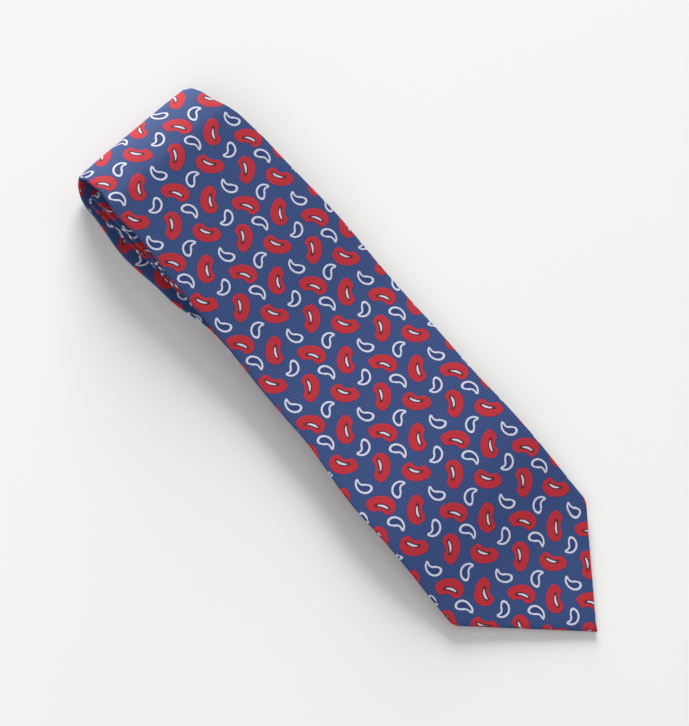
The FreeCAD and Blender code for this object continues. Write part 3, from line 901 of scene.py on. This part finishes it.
def tipping(name, run):
    """The lining between the hems, a little slack, its edges tucked just under them."""
    points, uv, faces = [], [], []
    shown = [spot for spot in run if spot.opening > 0.4 * MM]
    for spot in shown:
        reach = min(spot.opening + UNDER_HEM, spot.half - 1.2 * MM)
        for i in range(LINING_STEPS + 1):
            share = 2 * i / LINING_STEPS - 1
            ripple = 1 + math.sin(spot.s * 150 + i * 0.7) * 0.5
            slack = LINING_SLACK * (1 - share * share) * ripple
            tucked = abs(share * reach) > spot.opening - 0.5 * MM
            depth = SILK + 0.04 * MM if tucked else LINING - slack
            points.append(strip_point(spot, share * reach, depth))
            uv.append((spot.s, share * reach))
    row = LINING_STEPS + 1
    for i in range(len(shown) - 1):
        for j in range(LINING_STEPS):
            a = i * row + j
            faces.append((a, a + 1, a + row + 1, a + row))
    piece = mesh_of(name, points, faces, uv, tipping_satin)
    thicken(piece, LINING)
    width = 2 * (max(spot.opening for spot in shown) + UNDER_HEM)
    area = 0
    for a, b in zip(shown, shown[1:]):
        area += abs(b.s - a.s) * (a.opening + b.opening + 2 * UNDER_HEM)
    return piece


blade_lining = tipping("blade_lining", front_run)
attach(blade_lining, "front_blade")
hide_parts("blade_tipping")

tail_lining = tipping("tail_lining", tail_end_run)
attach(tail_lining, "folded_roll")
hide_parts("tail_tipping")


# ---- the slip stitch, bar tacks and join seams -----------------------------------------------
# One long blue thread closes the back seam with slanting slip stitches. A bar tack locks it at
# each end, and its slack is left as a small loop. The bias joins are plain machine seams.

def thread_finish(name, light, dark):
    """Twisted thread: its plies wind round it, with fibres standing off them."""
    material, tree, shader = new_finish(name, 0.55, 0.4, 0.3)
    along, around = cloth_lengths(tree)
    plies = ((along * 7 + around * 2) * 2.6).math("SINE") * 0.5 + 0.5
    fibres = mottling(tree, along * 3, around, 6.0, 4.0)
    colour = mixed(tree, plies * 0.6 + fibres * 0.3, light, dark)
    tree.links.new(colour, shader.inputs["Base Color"])
    raise_threads(tree, shader, plies + fibres * 0.5, 0.03 * MM)
    return material


sewing_thread = thread_finish("sewing_thread", dyed(86, 104, 170), dyed(38, 50, 104))
YARN_SIDES = 8


def yarn(name, lines, radius, material):
    """Two-ply threads along lines of points, thin where each one starts and ends."""
    points, uv, faces = [], [], []
    for line in lines:
        path = [Vector(p) for p in line]
        first = len(points)
        walked = 0.0
        for i, spot in enumerate(path):
            ahead = path[min(i + 1, len(path) - 1)] - path[max(i - 1, 0)]
            ahead.normalize()
            side = ahead.orthogonal().normalized()
            up = ahead.cross(side)
            walked += (spot - path[max(i - 1, 0)]).length
            thin = 0.35 if i in (0, len(path) - 1) else 1.0
            for k in range(YARN_SIDES):
                angle = math.tau * k / YARN_SIDES
                ply = 1 + 0.18 * math.cos(2 * angle + walked / radius * 0.7)
                out = side * math.cos(angle) + up * math.sin(angle)
                points.append(tuple(spot + out * radius * ply * thin))
                uv.append((walked, radius * angle))
        for i in range(len(path) - 1):
            for k in range(YARN_SIDES):
                a = first + i * YARN_SIDES + k
                b = first + i * YARN_SIDES + (k + 1) % YARN_SIDES
                faces.append((a, b, b + YARN_SIDES, a + YARN_SIDES))
        last = first + (len(path) - 1) * YARN_SIDES
        faces.append(tuple(first + k for k in reversed(range(YARN_SIDES))))
        faces.append(tuple(last + k for k in range(YARN_SIDES)))
    return mesh_of(name, points, faces, uv, material)


STITCH_PITCH = 6 * MM
STITCH_SINK = 0.1 * MM
STITCH_STAND = 0.04 * MM


def slip_stitches(name, run):
    """Slanting stitches across the back seam, one every few millimetres of cloth."""
    lines = []
    due = run[0].s
    for a, b in zip(run, run[1:]):
        if a.opening > 0.3 * MM or a.s < due or b.s - a.s < 0.2 * MM:
            continue
        due = a.s + STITCH_PITCH
        lines.append(
            [
                strip_point(a, -0.55 * MM, STITCH_SINK),
                strip_point(a, -SEAM_HALF, -STITCH_STAND),
                strip_point(b, SEAM_HALF, -STITCH_STAND),
                strip_point(b, 0.55 * MM, STITCH_SINK),
            ]
        )
    return yarn(name, lines, 0.13 * MM, sewing_thread)


seam_front = [spot for spot in front_run if spot.s > BLADE.opening]
front_stitches = slip_stitches("slip_stitch_front", seam_front)
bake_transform(front_stitches)
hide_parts("blade_slip_stitch")

second_stitches = slip_stitches("slip_stitch_under", second_run)
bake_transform(second_stitches)
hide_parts("fold_slip_stitch")

seam_tail = [spot for spot in tail_end_run if spot.s < tail_end_run[-1].s - TAIL.opening]
roll_stitches = slip_stitches("slip_stitch_inner_turns", third_run + neck_run + seam_tail)
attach(roll_stitches, "folded_roll")
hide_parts("roll_slip_stitch")


def bar_tack(name, node, body):
    """A short bar wrapped closely with thread across the end of the seam."""
    low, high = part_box(node)
    middle = (low + high) / 2
    turns, turn_steps = 22, 6
    line = []
    for i in range(turns * turn_steps + 1):
        angle = math.tau * i / turn_steps
        share = i / (turns * turn_steps)
        line.append(
            (
                middle.x + math.cos(angle) * (high.x - low.x) * 0.36,
                low.y + (high.y - low.y) * share,
                middle.z + math.sin(angle) * (high.z - low.z) * 0.3,
            )
        )
    tack = yarn(name, [line], 0.11 * MM, sewing_thread)
    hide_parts(node)
    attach(tack, body)


def slack_loop(name, node, body):
    """The spare end of the slip stitch: a small loop of thread lying flat on the cloth."""
    low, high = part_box(node)
    middle = (low + high) / 2
    across = (high.y - low.y) / 2 - 0.15 * MM
    steps = 41
    line = []
    for i in range(steps):
        angle = math.tau * i / steps * 0.97
        wave = 1 + 0.06 * math.sin(3 * angle)
        line.append(
            (
                middle.x + math.cos(angle) * across * wave,
                middle.y + math.sin(angle) * across * 0.8 * wave,
                middle.z,
            )
        )
    loop = yarn(name, [line], 0.12 * MM, sewing_thread)
    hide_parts(node)
    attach(loop, body)


JOIN_STITCH = 1.6 * MM


def join_seam(name, node, before):
    """The bias seam between two panels: small machine stitches along the slanting join."""
    lines = []
    spot = before[-1]
    reach = spot.half - 1 * MM
    count = round(2 * reach / JOIN_STITCH)
    for i in range(count):
        y = -reach + 2 * reach * i / count
        for depth in (-0.02 * MM, CLOTH + 0.02 * MM):
            ends = []
            for share, sink in ((0.05, 0.12), (0.3, 0), (0.7, 0), (0.95, 0.12)):
                inward = sink * MM if depth < 0 else -sink * MM
                ends.append(strip_point(spot, y + share * JOIN_STITCH, depth + inward))
            lines.append(ends)
    seam = yarn(name, lines, 0.07 * MM, sewing_thread)
    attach(seam, "folded_roll")
    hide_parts(node)


bar_tack("blade_end_tack", "blade_bar_tack", "front_blade")
bar_tack("tail_end_tack", "tail_bar_tack", "folded_roll")
slack_loop("blade_end_loop", "blade_thread_loop", "front_blade")
slack_loop("tail_end_loop", "tail_thread_loop", "folded_roll")
join_seam("neck_join_seam", "neck_join_thread", third_run)
join_seam("tail_join_seam", "tail_join_thread", neck_run)


# ---- the keeper loop -------------------------------------------------------------------------
# A flattened tube of the tie's own silk lies across the back of the blade, to hold the tail. Its
# ends are turned in flat and sewn down with a short bar of thread each.

keeper_low, keeper_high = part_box("keeper_loop")
KEEPER_FOOT = 4 * MM
KEEPER_RAMP = 5 * MM
KEEPER_THICK = 0.4 * MM
KEEPER_CLOTH_FROM_TIP = 400 * MM


def keeper_band():
    """A soft flat tube that lies on the cloth at its feet and stands off it between them.

    Its pattern is cut from another part of the same silk than the cloth it lies on.
    """
    middle_x = (keeper_low.x + keeper_high.x) / 2
    half_wide = (keeper_high.x - keeper_low.x) / 2
    half_span = (keeper_high.y - keeper_low.y) / 2
    rise = keeper_high.z - keeper_low.z - KEEPER_THICK
    points, uv, faces = [], [], []
    rows, ring = 49, 20
    for i in range(rows):
        y = -half_span + 2 * half_span * i / (rows - 1)
        ramp = min(1.0, max(0.0, (half_span - KEEPER_FOOT - abs(y)) / KEEPER_RAMP))
        lift = rise * ramp * ramp * (3 - 2 * ramp)
        waist = half_wide * (1 - 0.04 * ramp)
        for k in range(ring):
            angle = math.tau * k / ring
            bulge_x = math.copysign(abs(math.cos(angle)) ** 0.35, math.cos(angle))
            bulge_z = math.copysign(abs(math.sin(angle)) ** 0.6, math.sin(angle))
            points.append(
                (
                    middle_x + waist * bulge_x,
                    (keeper_low.y + keeper_high.y) / 2 + y,
                    keeper_high.z - lift - KEEPER_THICK / 2 - KEEPER_THICK / 2 * bulge_z,
                )
            )
            shift = 13 * MM if bulge_z > 0 else 0
            uv.append((KEEPER_CLOTH_FROM_TIP + waist * bulge_x, y + shift))
    for i in range(rows - 1):
        for k in range(ring):
            a = i * ring + k
            b = i * ring + (k + 1) % ring
            faces.append((a, b, b + ring, a + ring))
    faces.append(tuple(reversed(range(ring))))
    faces.append(tuple(range(len(points) - ring, len(points))))
    return mesh_of("keeper_band", points, faces, uv, patterned_silk)


keeper = keeper_band()
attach(keeper, "front_blade")
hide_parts("keeper_loop")


BAR_STITCH = 1.6 * MM
BAR_PITCH = 1.8 * MM
STITCH_RISE = 0.3 * MM
STITCH_ROOT = 0.02 * MM


def stitched_bars(name, node, inset):
    """Two rows of small stitches along X, each set in from one end of the node they stand for."""
    low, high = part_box(node)
    root = high.z - STITCH_ROOT
    top = (low.z + high.z) / 2
    lines = []
    for y in (low.y + inset, high.y - inset):
        x = low.x
        while x + BAR_STITCH <= high.x + 0.1 * MM:
            end = x + BAR_STITCH
            rise, fall = x + STITCH_RISE, end - STITCH_RISE
            lines.append([(x, y, root), (rise, y, top), (fall, y, top), (end, y, root)])
            x += BAR_PITCH
    piece = yarn(name, lines, 0.09 * MM, sewing_thread)
    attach(piece, "front_blade")
    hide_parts(node)


stitched_bars("keeper_stitches", "keeper_loop_stitches", 0.6 * MM)


# ---- the labels ------------------------------------------------------------------------------
# A woven name label and a small care label are sewn to the back of the blade. Both are left
# blank: plain navy damask with a woven border, and a plain white ribbon.

BORDER_FROM_SIDE = 1.6
BORDER_FROM_END = 3.2


def label_finish(name, ground, border, half_long, half_wide):
    """A damask with a woven line inside its sides and ends; the halves are in millimetres."""
    material, tree, shader = new_finish(name, 0.45, 0.2, 0.4)
    wide, long_way = cloth_lengths(tree)
    warp = waves(wide, 0.25)
    weft = waves(long_way, 0.35)
    to_side = (wide.math("ABSOLUTE") - (half_wide - BORDER_FROM_SIDE)).math("ABSOLUTE")
    to_end = (long_way.math("ABSOLUTE") - (half_long - BORDER_FROM_END)).math("ABSOLUTE")
    frame_line = to_side.math("MINIMUM", to_end).fade(0.45, 0.25)
    colour = mixed(tree, warp * weft * 0.5, ground, border)
    colour = mixed(tree, frame_line * 0.7, colour, border)
    tree.links.new(colour, shader.inputs["Base Color"])
    raise_threads(tree, shader, warp + weft + frame_line, 0.03 * MM)
    return material


def label_patch(name, node, material):
    """A woven patch on the blade's back, its sewn ends held closer to the cloth than its middle."""
    low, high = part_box(node)
    middle = (low + high) / 2
    points, uv, faces = [], [], []
    wide, long_way = 11, 25
    for i in range(wide):
        for j in range(long_way):
            a = i / (wide - 1) * 2 - 1
            b = j / (long_way - 1) * 2 - 1
            belly = (1 - b ** 6) * 0.05 * MM * (1 + math.sin(i * 1.3 + j * 0.8) * 0.5)
            x = middle.x + a * (high.x - low.x) / 2
            y = middle.y + b * (high.y - low.y) / 2
            points.append((x, y, low.z + 0.07 * MM - belly))
            uv.append((x - middle.x, y - middle.y))
    for i in range(wide - 1):
        for j in range(long_way - 1):
            a = i * long_way + j
            faces.append((a, a + 1, a + long_way + 1, a + long_way))
    piece = mesh_of(name, points, faces, uv, material)
    thicken(piece, (high.z - low.z) * 0.6)
    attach(piece, "front_blade")
    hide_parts(node)


label_satin = label_finish("label_satin", dyed(30, 38, 80), dyed(150, 156, 190), 23, 10)
care_ribbon = label_finish("care_ribbon", dyed(228, 228, 226), dyed(206, 206, 208), 10, 6)
label_patch("name_label", "name_label_blank", label_satin)
label_patch("care_label", "care_label_blank", care_ribbon)
stitched_bars("name_label_sewing", "name_label_stitches", 0.3 * MM)
label_thread = thread_finish("label_thread", dyed(232, 232, 232), dyed(180, 180, 184))
CARE_STITCH = 1.4 * MM
CARE_PITCH = 1.7 * MM


def care_label_sewing():
    """One row of white stitches along Y, down one side of the care label."""
    low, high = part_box("care_label_stitch")
    x = (low.x + high.x) / 2
    root = high.z - STITCH_ROOT
    top = (low.z + high.z) / 2
    lines = []
    y = low.y
    while y + CARE_STITCH <= high.y:
        end = y + CARE_STITCH
        rise, fall = y + STITCH_RISE, end - STITCH_RISE
        lines.append([(x, y, root), (x, rise, top), (x, fall, top), (x, end, root)])
        y += CARE_PITCH
    piece = yarn("care_label_sewing", lines, 0.08 * MM, label_thread)
    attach(piece, "front_blade")
    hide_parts("care_label_stitch")


care_label_sewing()


# ---- the studio ------------------------------------------------------------------------------
# The tie lies on a plain pale table. One big soft light stands low beyond its folded end, on the
# far side, with a weak fill from the near side and an even pale room. The camera looks down on it.

def table_finish():
    """Matt pale board, very slightly uneven in tone."""
    material = bpy.data.materials.new("pale_table")
    material.use_nodes = True
    tree = material.node_tree
    shader = tree.nodes["Principled BSDF"]
    shader.inputs["Roughness"].default_value = 0.75
    shader.inputs["Specular IOR Level"].default_value = 0.2
    place_on = tree.nodes.new("ShaderNodeTexCoord")
    noise = tree.nodes.new("ShaderNodeTexNoise")
    noise.inputs["Scale"].default_value = 3.0
    tree.links.new(place_on.outputs["Object"], noise.inputs["Vector"])
    colour = mixed(tree, Sum(tree, noise.outputs["Fac"]), dyed(243, 242, 238), dyed(238, 238, 236))
    tree.links.new(colour, shader.inputs["Base Color"])
    return material


TABLE_SIZE = 8
TABLE_CLEAR = 0.1 * MM
bpy.ops.mesh.primitive_plane_add(size=TABLE_SIZE, location=(0, 0, cad_low.z - TABLE_CLEAR))
table_top = bpy.context.object
table_top.name = "table_top"
table_top.data.materials.append(table_finish())


def soft_light(name, size, power, position):
    """A round soft light turned towards the tie; size in metres, power in watts."""
    data = bpy.data.lights.new(name, "AREA")
    data.shape = "DISK"
    data.size = size
    data.energy = power
    lamp = bpy.data.objects.new(name, data)
    lamp.location = position
    lamp.rotation_euler = (-Vector(position)).to_track_quat("-Z", "Y").to_euler()
    bpy.context.collection.objects.link(lamp)


soft_light("window_light", 3.1, 400, (-3.78, 2.84, 1.62))
soft_light("fill_light", 2.4, 25, (0.2, -2.0, 2.0))

world = bpy.data.worlds.new("studio")
world.use_nodes = True
room = world.node_tree.nodes["Background"]
room.inputs["Color"].default_value = (0.95, 0.97, 1.0, 1)
room.inputs["Strength"].default_value = 0.37
bpy.context.scene.world = world
bpy.context.scene.view_settings.view_transform = "Standard"

AZIMUTH = math.radians(11.21)
ELEVATION = math.radians(60.95)
ROLL = math.radians(37.32)
EYE = (0.0915, -0.5105, 0.9418)
back = Vector(
    (
        math.sin(AZIMUTH) * math.cos(ELEVATION),
        -math.cos(AZIMUTH) * math.cos(ELEVATION),
        math.sin(ELEVATION),
    )
)
level_right = Vector((math.cos(AZIMUTH), math.sin(AZIMUTH), 0))
level_up = back.cross(level_right)
right_axis = math.cos(ROLL) * level_right + math.sin(ROLL) * level_up
up_axis = back.cross(right_axis)
camera_data = bpy.data.cameras.new("camera")
camera_data.sensor_fit = "HORIZONTAL"
camera_data.sensor_width = 36
camera_data.lens = 130.6
camera = bpy.data.objects.new("camera", camera_data)
turned_axes = Matrix((right_axis, up_axis, back)).transposed().to_4x4()
camera.matrix_world = Matrix.Translation(EYE) @ turned_axes
bpy.context.collection.objects.link(camera)
bpy.context.scene.camera = camera

bpy.context.view_layer.update()
